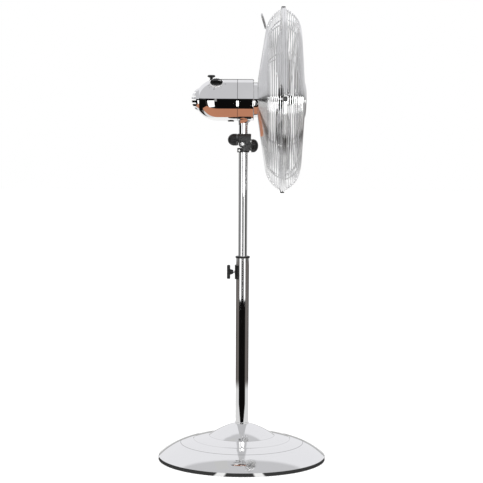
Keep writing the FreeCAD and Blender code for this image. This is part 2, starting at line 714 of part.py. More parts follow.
def windings():
    outline = [(0, ROTOR_R + 2), (WINDING_L - 2, ROTOR_R + 2), (WINDING_L, ROTOR_R + 4),
               (WINDING_L, STATOR_R - 5), (WINDING_L - 2, STATOR_R - 3), (0, STATOR_R - 3)]
    front = turned_x([(STACK_FRONT + SEAT + x, r) for x, r in outline])
    rear = turned_x([(STACK_REAR - SEAT - x, r) for x, r in outline])
    return [front, rear]


def motor_shaft():
    front = BLADE_X + HUB_L / 2 + SPINNER_L - 3
    return rod(SHAFT_R, front - SHAFT_REAR, Vector(SHAFT_REAR, 0, AXIS_Z), X)


def rotor_core():
    return tube(ROTOR_R, SHAFT_R, STACK_FRONT - STACK_REAR, Vector(STACK_REAR, 0, AXIS_Z), X)


# ---- worm gear ------------------------------------------------------------------
def worm():
    """One-start right-handed worm on the shaft, its thread in the wheel's gap beside it."""
    pitch = math.pi * GEAR_MODULE
    root = WORM_PITCH_R - TOOTH_DEPTH / 2 - 0.1
    tip = WORM_PITCH_R + TOOTH_DEPTH / 2 - 0.2
    turns = 3
    length = pitch * turns
    helix = Part.makeHelix(pitch, length, root)
    thick = pitch * 0.2
    a, b = Vector(root - 0.25, 0, -thick), Vector(tip, 0, -thick * 0.5)
    c, d = Vector(tip, 0, thick * 0.5), Vector(root - 0.25, 0, thick)
    section = Part.Wire(chain([a, b, c, d, a]))
    thread = Part.Wire(helix).makePipeShell([section], True, True)
    core = rod(root, WORM_L, Vector(0, 0, (length - WORM_L) / 2), Z)
    whole = core.fuse(thread).cut(rod(SHAFT_R, 2 * WORM_L, Vector(0, 0, -WORM_L / 2), Z))
    # the thread starts on +X; half a turn up it must face the wheel, at the worm's middle
    whole.translate(Z * (-length / 2))
    whole.rotate(O, Y, 90)
    whole.rotate(O, X, -90)
    whole.translate(Vector(WORM_X, 0, AXIS_Z))
    return whole


def gear_wheel():
    """Wheel on the clutch shaft, a gap between teeth facing the worm."""
    tip = GEAR_PITCH_R + TOOTH_DEPTH / 2 - 0.15
    root = GEAR_PITCH_R - TOOTH_DEPTH / 2 - 0.15
    half = math.pi * GEAR_MODULE * 0.19
    low = AXIS_Z - GEAR_T / 2
    corners = [Vector(root - 1, -half * 1.25, low), Vector(tip, -half * 0.6, low)]
    corners += [Vector(tip, half * 0.6, low), Vector(root - 1, half * 1.25, low)]
    tooth = Part.Face(Part.Wire(chain(corners + corners[:1]))).extrude(Z * GEAR_T)
    teeth = around(tooth, GEAR_TEETH, O, Z, -90 + 180.0 / GEAR_TEETH)
    wheel = rod(root, GEAR_T, Vector(0, 0, low), Z).fuse(teeth)
    wheel = wheel.cut(rod(CLUTCH_SHAFT_R, GEAR_T, Vector(0, 0, low), Z)).removeSplitter()
    wheel.translate(Vector(WORM_X, GEAR_Y, 0))
    return wheel


def crank():
    """Clutch shaft with the crank disc and pin at its foot."""
    at = Vector(WORM_X, GEAR_Y, AXIS_Z)
    shaft = rod(CLUTCH_SHAFT_R, GEAR_T / 2 + 4 - CRANK_Z, at + Z * CRANK_Z, Z)
    disc = rod(CRANK_THROW + 3.2, 3, at + Z * CRANK_Z, Z)
    return shaft.fuse(disc).removeSplitter()


def gearbox_case():
    front = REAR_BELL - CASE_GAP
    y0, y1 = -WORM_PITCH_R - 5, GEAR_Y + GEAR_PITCH_R + 4
    z0, z1 = AXIS_Z - 12, AXIS_Z + 10
    w = CASE_WALL
    case = block(CASE_REAR, front, y0, y1, z0, z1)
    case = case.makeFillet(3, [e for e in case.Edges if e.BoundBox.ZLength > z1 - z0 - 1e-3])
    case = case.cut(block(CASE_REAR + w, front - w, y0 + w, y1 - w, z0 + w, z1 - w))
    shaft = rod(SHAFT_R + RUN, 2 * (front - CASE_REAR), Vector(CASE_REAR + w + 0.1, 0, AXIS_Z), X)
    clutch = rod(CLUTCH_SHAFT_R + RUN, z1 - z0 - w, Vector(WORM_X, GEAR_Y, z0), Z)
    plunger = rod(PULL_ROD_R + RUN, 2 * w, Vector(WORM_X, GEAR_Y, z1 - w - 1), Z)
    return case.cut([shaft, clutch, plunger])


def gearbox_feet():
    """Two spacers that hold the gearbox on the rear bell."""
    front = REAR_BELL - CASE_GAP
    places = [Vector(front + SEAT, -8, AXIS_Z + 7.5), Vector(front + SEAT, GEAR_Y + 6, AXIS_Z - 6)]
    return [rod(2.4, CASE_GAP - 2 * SEAT, at, X) for at in places]


# ---- controls -------------------------------------------------------------------
def dial_frame():
    up = math.radians(DIAL_UP_DEG)
    out = Vector(0, -math.cos(up), math.sin(up))
    surface = dome_radius(DIAL_X, HOUSING_R, DOME_LENGTH)
    return AXIS + X * DIAL_X + out * surface, out


def dial_hole():
    at, out = dial_frame()
    return rod(DIAL_R + BEZEL_WALL + SEAT, 20, at - out * 8, out)


def dial_bezel():
    at, out = dial_frame()
    outer = DIAL_R + BEZEL_WALL
    ring = tube(outer, DIAL_R + 0.6, BEZEL_DEEP + BEZEL_PROUD, at - out * BEZEL_DEEP, out)
    floor = tube(outer, 4.0, 1.5, at - out * (BEZEL_DEEP + 1.5), out)
    return ring.fuse(floor).removeSplitter()


def speed_dial():
    """Round knob with a finger bar across it."""
    at, out = dial_frame()
    knob = lobed(DIAL_R, 18, 0.8, DIAL_H - 5.0)
    bar = block(-DIAL_R * 0.92, DIAL_R * 0.92, -3.2, 3.2, DIAL_H - 5.5, DIAL_H)
    bar = bar.makeFillet(1.4, [e for e in bar.Edges if e.BoundBox.ZMin > DIAL_H - 5.4])
    shaft = rod(3.0, 12.0, Vector(0, 0, -10.0), Z)
    whole = knob.fuse([bar, shaft]).removeSplitter()
    return placed(whole, at - out * (BEZEL_DEEP - GAP - 1.0), out)


def speed_switch():
    at, out = dial_frame()
    top = at - out * (BEZEL_DEEP + 1.5 + SEAT)
    body = rod(11.0, 9.0, top, out * -1)
    return body.cut(rod(3.0 + RUN, 9.0, top, out * -1))


def capacitor():
    return block(CAP_X - CAP_L, CAP_X, -22, -8, AXIS_Z - 36, AXIS_Z - 16)


def capacitor_clip():
    return block(CAP_X + SEAT, REAR_BELL - SEAT, -20, -12, AXIS_Z - 30, AXIS_Z - 20)


def pull_knob():
    """Push-pull knob for the oscillation, on its rod."""
    top = PULL_TOP
    cap_low = top - PULL_CAP_H
    foot = GEAR_T / 2 + 4 + GAP + 0.5
    profile = [(0, foot), (PULL_ROD_R, foot), (PULL_ROD_R, 30), (PULL_STEM_R, 31),
               (PULL_STEM_R, cap_low - 2), (PULL_R - 1.2, cap_low), (PULL_R, cap_low + 1.2),
               (PULL_R, top - 2), (PULL_R - 2.5, top), (0, top)]
    points = [Vector(r, 0, z) for r, z in profile]
    knob = turned(chain(points + points[:1]), O, Z)
    knob.translate(Vector(WORM_X, GEAR_Y, AXIS_Z))
    return knob


# ---- guard ------------------------------------------------------------------------
class Outline:
    """Half outline of a guard: an arch from the rim, then a straight face."""

    def __init__(self, side, arch_r, start_deg, rake_deg):
        self.side = side
        self.arch_r = arch_r
        self.start = math.radians(start_deg)
        self.rake = math.radians(rake_deg)
        self.cx = RIM_X - side * arch_r * math.cos(self.start)
        self.cr = GUARD_R - arch_r * math.sin(self.start)

    def arch_length(self):
        return self.arch_r * (self.start - self.rake)

    def place(self, s, inset=0.0):
        """(x, radius) at the distance s from the rim, inset towards the blades."""
        radius = self.arch_r - inset
        turn = max(self.start - s / self.arch_r, self.rake)
        past = max(0.0, s - self.arch_length())
        x = self.cx + self.side * (radius * math.cos(turn) + past * math.sin(self.rake))
        return x, self.cr + radius * math.sin(turn) - past * math.cos(self.rake)

    def length_to(self, radius):
        """Distance from the rim to where the face reaches a radius."""
        tangent = self.cr + self.arch_r * math.sin(self.rake)
        return self.arch_length() + (tangent - radius) / math.cos(self.rake)


FRONT = Outline(1, FRONT_ARCH_R, FRONT_ARCH_START, FRONT_RAKE)
REAR = Outline(-1, REAR_ARCH_R, REAR_ARCH_START, REAR_RAKE)
RIB_INSET = RING_R + RIB_R + 0.02


def ring(x, radius, wire, span=360.0):
    """Hoop of twelve-sided wire round the fan's axis, or the first part of one."""
    turns = [2 * math.pi * (i + 0.5) / WIRE_SIDES for i in range(WIRE_SIDES)]
    corners = [Vector(x + wire * math.cos(a), 0, AXIS_Z + radius + wire * math.sin(a)) for a in turns]
    return Part.Face(Part.makePolygon(corners + corners[:1])).revolve(AXIS, X, span)


def ring_arcs(x, radius, wire):
    """A ring as arcs that meet behind the ribs."""
    return around(ring(x, radius, wire, 360.0 / RIBS), RIBS, AXIS, X)


def ring_places(outline):
    """Distances of the rings from the rim, those on the arch and those on the face."""
    count = int(outline.length_to(RING_INNER) / RING_PITCH)
    places = [RING_PITCH * i for i in range(1, count + 1)]
    arch = [s for s in places if s <= outline.arch_length() + RING_PITCH / 2]
    return arch, places[len(arch):]


def guard_rim(outline):
    return ring_arcs(RIM_X + outline.side * (HOOP_R + SEAT), GUARD_R, HOOP_R)


def guard_shoulder(outline):
    arcs = []
    for s in ring_places(outline)[0]:
        arcs += ring_arcs(*outline.place(s), RING_R)
    return arcs


def guard_face(outline):
    return [ring(*outline.place(s), RING_R) for s in ring_places(outline)[1]]


def guard_ribs(outline, inner_radius):
    """Bars inside the rings, from the rim hoop to the middle."""
    def at(s):
        x, r = outline.place(s, RIB_INSET)
        return Vector(x, 0, AXIS_Z + r)
    begin = HOOP_R + RIB_R + 2.0
    bend = outline.arch_length()
    end = outline.length_to(inner_radius)
    path = [arc(at(begin), at((begin + bend) / 2), at(bend)), line(at(bend), at(end))]
    return around(pipe(path, RIB_R), RIBS, AXIS, X)


def guard_mount():
    """Collar on the front of the housing, with the threaded boss for the rear guard."""
    bore_r = SHAFT_R + 5
    body = turned_x([(HOUSING_FRONT + SEAT, bore_r), (HOUSING_FRONT + SEAT, COLLAR_R),
                     (COLLAR_FRONT - 1, COLLAR_R), (COLLAR_FRONT, COLLAR_R - 1),
                     (COLLAR_FRONT, MOUNT_R), (MOUNT_FRONT, MOUNT_R), (MOUNT_FRONT, MOUNT_R - 4),
                     (COLLAR_FRONT - 3, MOUNT_R - 4), (COLLAR_FRONT - 3, bore_r)])
    return body


def rear_plate_x():
    return REAR.place(REAR.length_to(RING_INNER - 2), RIB_INSET)[0] + RIB_R / math.cos(REAR.rake) + SEAT


def rear_plate():
    """Stamped ring in the middle of the rear guard, in front of the ribs' ends."""
    return tube(RING_INNER - 2, MOUNT_R + 4 * SEAT, REAR_PLATE_T, Vector(rear_plate_x(), 0, AXIS_Z), X)


def rear_nut():
    """Plastic nut that holds the rear guard on its boss."""
    back = rear_plate_x() + REAR_PLATE_T + SEAT
    nut = lobed(COLLAR_R - 1, 8, 2.4, MOUNT_FRONT - 1 - back)
    nut = nut.cut(rod(MOUNT_R + SEAT, 40, O, Z))
    return placed(nut, Vector(back, 0, AXIS_Z), X)


def face_x(radius):
    return FRONT.place(FRONT.length_to(radius), RIB_INSET)[0]


def badge():
    """Plain domed disc in the middle of the front guard."""
    back = face_x(FRONT_RIB_END) + RIB_R + SEAT + 0.3
    low, high = Vector(back, 0, AXIS_Z + BADGE_R), Vector(back + BADGE_T, 0, AXIS_Z)
    lip, middle = low + X * 1.2, Vector(back, 0, AXIS_Z)
    edges = [line(middle, low), line(low, lip), crown(lip, high), line(high, middle)]
    return turned(edges, AXIS, X)


def badge_plate():
    """Back plate that pinches the ribs against the badge."""
    front = face_x(BADGE_R) - RIB_R - SEAT - 0.3
    return rod(BADGE_R - 3, 1.5, Vector(front - 1.5, 0, AXIS_Z), X)


def badge_screws():
    front = face_x(BADGE_R) - RIB_R - 1.8 - SEAT
    back = face_x(FRONT_RIB_END) + RIB_R + 0.3
    screw = rod(1.6, back - front - 1.6, Vector(front, 0, AXIS_Z + 14), X)
    head = rod(3.0, 1.8, Vector(front - 1.8 - SEAT, 0, AXIS_Z + 14), X)
    return around(head, 3, AXIS, X)


def guard_clips():
    """Clips over both rim hoops."""
    wide = 2 * HOOP_R + 0.8
    low, high = GUARD_R - HOOP_R - GAP, GUARD_R + HOOP_R + 2.4
    clip = block(RIM_X - wide, RIM_X + wide, -6, 6, AXIS_Z + low, AXIS_Z + high)
    clip = clip.makeFillet(1.2, [e for e in clip.Edges if e.BoundBox.ZMin > AXIS_Z + high - 1e-3])
    for side in (-1, 1):
        groove = ring(RIM_X + side * (HOOP_R + SEAT), GUARD_R, HOOP_R + SEAT)
        groove.rotate(AXIS, X, 40)
        clip = clip.cut(groove)
    half = 2 * HOOP_R + 2 * SEAT
    mouth = block(RIM_X - half, RIM_X + half, -7, 7, AXIS_Z + low - 1, AXIS_Z + GUARD_R)
    return around(clip.cut(mouth), CLIP_COUNT, AXIS, X)


def carry_handle():
    """Bent wire behind the top of the rear guard."""
    foot_x = REAR.place(REAR.length_to(HANDLE_FOOT_R))[0] - RING_R - HANDLE_WIRE_R - 0.1
    y, w = HANDLE_HALF_W, 8.0
    foot_z = AXIS_Z + math.sqrt(HANDLE_FOOT_R ** 2 - y ** 2)
    top_x, top_z = foot_x - HANDLE_BACK, AXIS_Z + HANDLE_TOP_R
    lean = Vector(top_x - foot_x, 0, top_z - foot_z)
    lean.normalize()
    low_l, low_r = Vector(foot_x, -y, foot_z), Vector(foot_x, y, foot_z)
    top_l, top_r = Vector(top_x, -y, top_z), Vector(top_x, y, top_z)
    bend = w * (1 - math.sqrt(0.5))
    left = arc(top_l - lean * w, top_l - lean * bend + Y * bend, top_l + Y * w)
    right = arc(top_r - Y * w, top_r - lean * bend - Y * bend, top_r - lean * w)
    path = [line(low_l, top_l - lean * w), left, line(top_l + Y * w, top_r - Y * w), right]
    return pipe(path + [line(top_r - lean * w, low_r)], HANDLE_WIRE_R)


# ---- blades ------------------------------------------------------------------------
def blade_section(radius, chord, pitch_deg, camber):
    """Thin arched section across the blade at a radius."""
    pitch = math.radians(pitch_deg)
    along = Vector(math.sin(pitch), math.cos(pitch), 0)
    out = Vector(math.cos(pitch), -math.sin(pitch), 0)
    mid = Vector(BLADE_X, 0, AXIS_Z + radius)
    a, c = mid - along * (chord / 2), mid + along * (chord / 2)
    b = mid + out * camber
    t = out * BLADE_T
    return Part.Wire([arc(a, b, c), line(c, c + t), arc(c + t, b + t, a + t), line(a + t, a)])


def fan_blades():
    share = BLADE_R / 196.0
    sections = [blade_section(20, 78, 26, 3), blade_section(80 * share, 100, 20, 5)]
    sections += [blade_section(140 * share, 124, 15.5, 6), blade_section(BLADE_R + 4, 132, 12.5, 5)]
    twisted = Part.makeLoft(sections, True, False)
    low = HUB_R - 3
    long, wide = (BLADE_R - low) / 2, 58.0
    matrix = FreeCAD.Matrix()
    matrix.scale(1, wide, long)
    outline = Part.Wire(Part.Circle(O, X, 1).toShape()).transformGeometry(matrix)
    outline.translate(Vector(BLADE_X - 60, 0, AXIS_Z + low + long))
    petal = Part.Face(outline).extrude(X * 120)
    blade = twisted.common(petal).cut(rod(HUB_R + SEAT, 200, Vector(BLADE_X - 100, 0, AXIS_Z), X))
    return around(blade.Solids[0], BLADES, AXIS, X, 90)


def blade_hub():
    back = BLADE_X - HUB_L / 2
    hub = turned_x([(back, SHAFT_R + SEAT), (back, HUB_R - 4), (back + 3, HUB_R), (back + HUB_L - 3, HUB_R),
                    (back + HUB_L, HUB_R - 4), (back + HUB_L, 16), (back + HUB_L - 6, 14),
                    (back + HUB_L - 6, SHAFT_R + SEAT)])
    return hub.cut(around(rod(3.2, 10, Vector(back - 2, 0, AXIS_Z + 19), X), 6, AXIS, X))


def spinner_nut():
    back = BLADE_X + HUB_L / 2 - 6 + SEAT
    low = Vector(back, 0, AXIS_Z + SPINNER_R)
    edge = low + X * (SPINNER_L * 0.5)
    tip = Vector(back + SPINNER_L + 6, 0, AXIS_Z)
    foot = Vector(back, 0, AXIS_Z)
    nut = turned([line(foot, low), line(low, edge), crown(edge, tip), line(tip, foot)], AXIS, X)
    return nut.cut(rod(SHAFT_R, BLADE_X + HUB_L / 2 + SPINNER_L - 3 - back, Vector(back, 0, AXIS_Z), X))


# ---- build --------------------------------------------------------------------------
def nodes():
    knob, screw = height_knob()
    return {
        "base_cover": base_cover(), "base_plate": base_plate(), "base_weight": base_weight(),
        "base_feet": base_feet(), "base_spacer": base_spacer(), "base_bolt": base_bolt(),
        "pole_plug": pole_plug(), "foot_collar": foot_collar(), "lower_pole": lower_pole(),
        "pole_bush": pole_bush(), "clamp_saddle": clamp_saddle(),
        "height_knob": knob, "height_knob_screw": screw,
        "mast_tube": mast_tube(), "mast_guide": mast_guide(), "mast_socket": mast_socket(),
        "bracket_bolts": [pivot_bolt(), pivot_nut(), socket_screw()], "tilt_lock_knob": tilt_knob(),
        "tilt_yoke": tilt_yoke(), "neck_post": neck_post(), "neck_lock_knob": neck_knob(),
        "swivel_pin": swivel_pin(), "swivel_arm": swivel_arm(),
        "oscillation_link": oscillation_link(), "neck_boss": neck_boss(), "swivel_bush": swivel_bush(),
        "rear_housing": rear_housing(), "front_housing": front_housing(),
        "rear_vent_cap": rear_vent(), "cable_gland": cable_gland(),
        "motor_bells": [bell(REAR_BELL, True), bell(FRONT_BELL, False)], "tie_bolts": tie_bolts(),
        "shaft_bearings": [bearing(REAR_BELL - 2.5), bearing(FRONT_BELL - 3)],
        "stator_core": stator_core(), "stator_windings": windings(),
        "capacitor": [capacitor(), capacitor_clip()],
        "gearbox_case": [gearbox_case()] + gearbox_feet(), "motor_shaft": motor_shaft(),
        "rotor_core": rotor_core(), "worm": worm(), "worm_wheel": gear_wheel(), "crank": crank(),
        "dial_bezel": dial_bezel(), "speed_dial": speed_dial(), "speed_switch": speed_switch(),
        "oscillation_knob": pull_knob(), "guard_mount": guard_mount(),
        "rear_guard_nut": rear_nut(), "rear_guard_plate": rear_plate(),
        "rear_guard_rings": guard_face(REAR), "rear_guard_ribs": guard_ribs(REAR, REAR_RIB_END),
        "front_guard_rings": guard_face(FRONT), "front_guard_ribs": guard_ribs(FRONT, FRONT_RIB_END),
        "guard_rims": guard_rim(FRONT) + guard_rim(REAR) + guard_shoulder(FRONT) + guard_shoulder(REAR),
        "guard_clips": guard_clips(), "carry_handle": carry_handle(),
        "front_badge": [badge(), badge_plate()] + badge_screws(),
        "fan_blades": fan_blades(), "blade_hub": blade_hub(), "spinner_nut": spinner_nut(),
    }


def main():
    os.makedirs("parts", exist_ok=True)
    for name, shape in nodes().items():
        solids = shape if isinstance(shape, list) else [shape]
        whole = Part.makeCompound([s for piece in solids for s in piece.Solids])
        whole.exportStep("parts/" + name + ".step")
        print(name, len(whole.Solids), "solids", round(whole.Volume), whole.isValid())


main()
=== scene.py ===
import json
import math
import random

import bmesh
import bpy
from mathutils import Matrix, Vector


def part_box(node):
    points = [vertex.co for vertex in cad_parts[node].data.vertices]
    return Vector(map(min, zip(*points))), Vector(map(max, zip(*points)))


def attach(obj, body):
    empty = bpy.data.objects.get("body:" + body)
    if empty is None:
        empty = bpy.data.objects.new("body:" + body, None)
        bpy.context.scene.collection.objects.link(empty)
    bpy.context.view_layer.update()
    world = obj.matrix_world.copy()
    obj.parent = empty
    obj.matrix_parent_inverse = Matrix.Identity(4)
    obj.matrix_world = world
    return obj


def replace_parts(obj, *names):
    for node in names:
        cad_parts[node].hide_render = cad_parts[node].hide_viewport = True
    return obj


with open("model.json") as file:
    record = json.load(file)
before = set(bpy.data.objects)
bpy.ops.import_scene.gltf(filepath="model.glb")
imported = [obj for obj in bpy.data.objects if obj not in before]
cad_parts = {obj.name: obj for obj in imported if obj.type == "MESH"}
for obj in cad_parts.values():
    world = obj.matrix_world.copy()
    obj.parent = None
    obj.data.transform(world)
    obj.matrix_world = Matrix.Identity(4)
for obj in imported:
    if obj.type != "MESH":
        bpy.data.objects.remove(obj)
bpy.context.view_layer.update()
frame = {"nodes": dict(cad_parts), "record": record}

# Pedestal fan, in metres, +Z up, +X the way the air goes.

SCENE = bpy.context.scene

# ---- sizes that repeat the fan's own, in metres ------------------------------
AXIS_Z = 0.8773            # height of the motor's axis
HOUSING_R = 0.050
GUARD_R = 0.220
RIM_X = 0.095
HOOP_R = 0.002
RING_R = 0.001
HAIRLINE = 0.00005
RING_PITCH = 0.0062
RING_INNER = 0.051
RIBS = 12
FRONT_ARCH = (1, 0.0586, 73.8, 4.2)      # side, arch radius, start and rake in degrees
REAR_ARCH = (-1, 0.0642, 69.1, 8.9)
DIAL_X = -0.065
DIAL_TILT = 35.0           # degrees from the top of the housing towards the viewer
DIAL_R = 0.0145
NUMERAL_R = 0.0222         # numerals' circle round the dial
DETENT = 45.0              # degrees between speeds
FIRST_NUMERAL = -15.0
DIGIT_SIZE = 0.0058
TICK = (0.0032, 0.0046)    # from and to, beyond the dial's edge
TICK_HALF = 0.0003
PRINT_LIFT = 0.00008       # how far print and the seam's painted-shade strip stand out of the housing
POINTER = (0.005, 0.0125)  # from and to, out from the dial's middle
POINTER_HALF = 0.0006
POINTER_LIFT = 0.00004
POINTER_THICK = 0.00025
SEAM_X = -0.0145
SEAM_HALF = 0.0005
SEAM_DEPTH = 0.0006
WASHER_X = (-0.0150, -0.0121)
WASHER_R = (0.0034, 0.0138)
WELD_R = (0.00115, 0.0014)
SHEET_THICK = 0.0005       # one steel sheet of the motor's core
PAINTED_REFLECTION_RINGS = ((0.150, 0.55), (0.118, 0.88), (0.080, 0.85))      # base's painted reflection lines: radius, brightness left there
COVER_OUTLINE = ((-0.0118, 0.7955), (0.0188, 0.7955), (0.0188, 0.7810), (0.0172, 0.7760),
                 (0.0110, 0.7690), (0.0062, 0.7720), (0.0048, 0.7785), (-0.0085, 0.7785),
                 (-0.0118, 0.7800))          # bracket cover: x, z
COVER_Y = 0.0148
COVER_THICK = 0.0012
COVER_BEVEL = 0.0005

# ---- camera ------------------------------------------------------------------
CAMERA_AT = Vector((-0.003, -3.70, 0.832))
CAMERA_DOWN = 4.6          # degrees below the horizon
CAMERA_ROLL = 0.3
SENSOR_MM = 36.0
LENS_MM = 113.7


def link(name, data):
    piece = bpy.data.objects.new(name, data)
    SCENE.collection.objects.link(piece)
    return piece


def add_camera():
    data = bpy.data.cameras.new("camera")
    data.sensor_width = SENSOR_MM
    data.lens = LENS_MM
    camera = link("camera", data)
    pitch = Matrix.Rotation(math.radians(90 - CAMERA_DOWN), 4, "X")
    roll = Matrix.Rotation(math.radians(CAMERA_ROLL), 4, "Z")
    camera.matrix_world = Matrix.Translation(CAMERA_AT) @ pitch @ roll
    SCENE.camera = camera


# ---- material nodes ------------------------------------------------------------
class Nodes:
    """Short names for the shader nodes of one material or world."""

    def __init__(self, tree):
        self.tree = tree
        tree.nodes.clear()

    def add(self, kind, **settings):
        node = self.tree.nodes.new(kind)
        for key, value in settings.items():
            setattr(node, key, value)
        return node

    def wire(self, source, target):
        self.tree.links.new(source, target)

    def put(self, socket, value):
        if isinstance(value, bpy.types.NodeSocket):
            self.wire(value, socket)
        else:
            socket.default_value = value

    def math(self, operation, *values):
        node = self.add("ShaderNodeMath", operation=operation)
        for socket, value in zip(node.inputs, values):
            self.put(socket, value)
        return node.outputs[0]

    def between(self, value, low, high):
        """0 below low, 1 above high, smooth in the middle."""
        node = self.add("ShaderNodeMapRange", interpolation_type="SMOOTHSTEP")
        self.put(node.inputs["Value"], value)
        node.inputs["From Min"].default_value = low
        node.inputs["From Max"].default_value = high
        return node.outputs["Result"]

    def spread(self, value, low, high, start=0.3, end=0.7):
        """Maps a texture's middle range to low..high."""
        node = self.add("ShaderNodeMapRange")
        self.put(node.inputs["Value"], value)
        node.inputs["From Min"].default_value = start
        node.inputs["From Max"].default_value = end
        node.inputs["To Min"].default_value = low
        node.inputs["To Max"].default_value = high
        return node.outputs["Result"]

    def blend(self, share, first, second):
        node = self.add("ShaderNodeMix", data_type="RGBA")
        self.put(node.inputs["Factor"], share)
        self.put(node.inputs[6], first)
        self.put(node.inputs[7], second)
        return node.outputs[2]

    def place(self, stretch=(1, 1, 1)):
        """Object coordinates, stretched."""
        coordinates = self.add("ShaderNodeTexCoord")
        mapping = self.add("ShaderNodeMapping")
        self.wire(coordinates.outputs["Object"], mapping.inputs["Vector"])
        mapping.inputs["Scale"].default_value = stretch
        return mapping.outputs["Vector"]

    def noise(self, scale, detail=2.0, stretch=(1, 1, 1)):
        node = self.add("ShaderNodeTexNoise")
        node.inputs["Scale"].default_value = scale
        node.inputs["Detail"].default_value = detail
        self.wire(self.place(stretch), node.inputs["Vector"])
        return node.outputs["Fac"]

    def bump(self, height, distance, strength=1.0, under=None):
        node = self.add("ShaderNodeBump")
        node.inputs["Strength"].default_value = strength
        node.inputs["Distance"].default_value = distance
        self.wire(height, node.inputs["Height"])
        if under is not None:
            self.wire(under, node.inputs["Normal"])
        return node.outputs["Normal"]

    def length(self, a, b):
        """Length of the flat vector (a, b)."""
        squares = self.math("ADD", self.math("POWER", a, 2.0), self.math("POWER", b, 2.0))
        return self.math("SQRT", squares)


def blank(name):
    """New material that has only its output node."""
    material = bpy.data.materials.new(name)
    material.use_nodes = True
    n = Nodes(material.node_tree)
    return material, n, n.add("ShaderNodeOutputMaterial")


def rgb(grey, warm=0.0):
    return (grey * (1 + warm), grey, grey * (1 - warm), 1.0)


def grey_colour(n, value, tint=(1.0, 1.0, 1.0)):
    node = n.add("ShaderNodeCombineColor")
    for socket, share in zip(node.inputs, tint):
        n.wire(n.math("MULTIPLY", value, share), socket)
    return node.outputs[0]


def surface(name, colours, roughness, metallic=0.0, broad=20.0, fine=900.0, grain=0.0, **sockets):
    """Material with patchy colour, uneven gloss and a fine relief.

    colours and roughness are (low, high) pairs; grain is the relief's height in metres.
    """
    material, n, out = blank(name)
    shader = n.add("ShaderNodeBsdfPrincipled")
    n.wire(shader.outputs["BSDF"], out.inputs["Surface"])
    shader.inputs["Metallic"].default_value = metallic
    for key, value in sockets.items():
        shader.inputs[key.replace("_", " ").title()].default_value = value
    patches = n.spread(n.noise(broad, 4.0), 0.0, 1.0)
    n.wire(n.blend(patches, colours[0], colours[1]), shader.inputs["Base Color"])
    gloss = n.math("MULTIPLY_ADD", n.noise(fine * 0.2, 3.0), 0.5, n.math("MULTIPLY", patches, 0.5))
    n.wire(n.spread(gloss, roughness[0], roughness[1]), shader.inputs["Roughness"])
    if grain:
        n.wire(n.bump(n.noise(fine, 3.0), grain), shader.inputs["Normal"])
    return material, n, shader


def chrome(name, roughness=(0.02, 0.055), waviness=0.00003, broad=9.0):
    """Mirror plate over pressed steel, with faint draw waves and wiping smudges."""
    material, n, shader = surface(name, (rgb(0.87), rgb(0.93)), roughness, metallic=1.0,
                                  broad=broad)
    waves = n.noise(28.0, 1.0)
    n.wire(n.bump(waves, waviness), shader.inputs["Normal"])
    return material


def spun_chrome(name):
    """Chrome with the faint rings of the spinning tool, round the motor's axis."""
    material, n, shader = surface(name, (rgb(0.86), rgb(0.92)), (0.06, 0.13), metallic=1.0)
    parts = n.add("ShaderNodeSeparateXYZ")
    n.wire(n.place(), parts.inputs["Vector"])
    above = n.math("SUBTRACT", parts.outputs["Z"], AXIS_Z)
    rings = n.math("SINE", n.math("MULTIPLY", n.length(parts.outputs["Y"], above), 5200.0))
    n.wire(n.bump(rings, 0.00002, 0.6), shader.inputs["Normal"])
    return material


def base_chrome():
    """Chrome of the pressed base, with three faint dark rings painted into its colour as reflection
    lines.
    """
    material, n, shader = surface("base_chrome", (rgb(0.87), rgb(0.93)), (0.03, 0.09),
                                  metallic=1.0, broad=5.0)
    parts = n.add("ShaderNodeSeparateXYZ")
    n.wire(n.place(), parts.inputs["Vector"])
    radius = n.length(parts.outputs["X"], parts.outputs["Y"])
    reflection_rings = 1.0
    # painted reflection: thin dark rings darken the base's colour
    for ring_radius, ring_brightness in PAINTED_REFLECTION_RINGS:
        off = n.math("ABSOLUTE", n.math("SUBTRACT", radius, ring_radius))
        share = n.spread(n.between(off, 0.0004, 0.0014), ring_brightness, 1.0, 0.0, 1.0)
        reflection_rings = n.math("MULTIPLY", share, reflection_rings)
    n.wire(grey_colour(n, n.math("MULTIPLY", reflection_rings, 0.90)), shader.inputs["Base Color"])
    n.wire(n.bump(n.noise(28.0, 1.0), 0.00002), shader.inputs["Normal"])
    return material


def blade_metal():
    """Polished aluminium with fine brushing from hub to tip."""
    material, n, shader = surface("blade_metal", (rgb(0.72), rgb(0.84)), (0.12, 0.26), metallic=1.0)
    brushing = n.noise(60.0, 4.0, stretch=(6, 40, 1.5))
    n.wire(n.bump(brushing, 0.00001, 0.5), shader.inputs["Normal"])
    return material


def laminations(name):
    """Stack of thin steel sheets pressed together along the axis."""
    material, n, shader = surface(name, (rgb(0.26, 0.03), rgb(0.40, 0.02)), (0.35, 0.55),
                                  metallic=0.9)
    parts = n.add("ShaderNodeSeparateXYZ")
    n.wire(n.place(), parts.inputs["Vector"])
    sheet = n.math("PINGPONG", n.math("MULTIPLY", parts.outputs["X"], 1 / SHEET_THICK), 1.0)
    n.wire(n.bump(sheet, 0.0001), shader.inputs["Normal"])
    return material


def windings():
    """Enamelled copper wire laid side by side."""
    material, n, shader = surface("copper", ((0.42, 0.13, 0.05, 1), (0.62, 0.24, 0.09, 1)), (0.2, 0.4),
                                  metallic=0.9, Coat_weight=0.6)
    strands = n.noise(220.0, 1.0, stretch=(9, 1, 1))
    n.wire(n.bump(strands, 0.0004), shader.inputs["Normal"])
    return material


def knit(name, dark, light, roughness, grain, **more):
    return surface(name, (rgb(dark), rgb(light)), roughness, grain=grain, **more)[0]


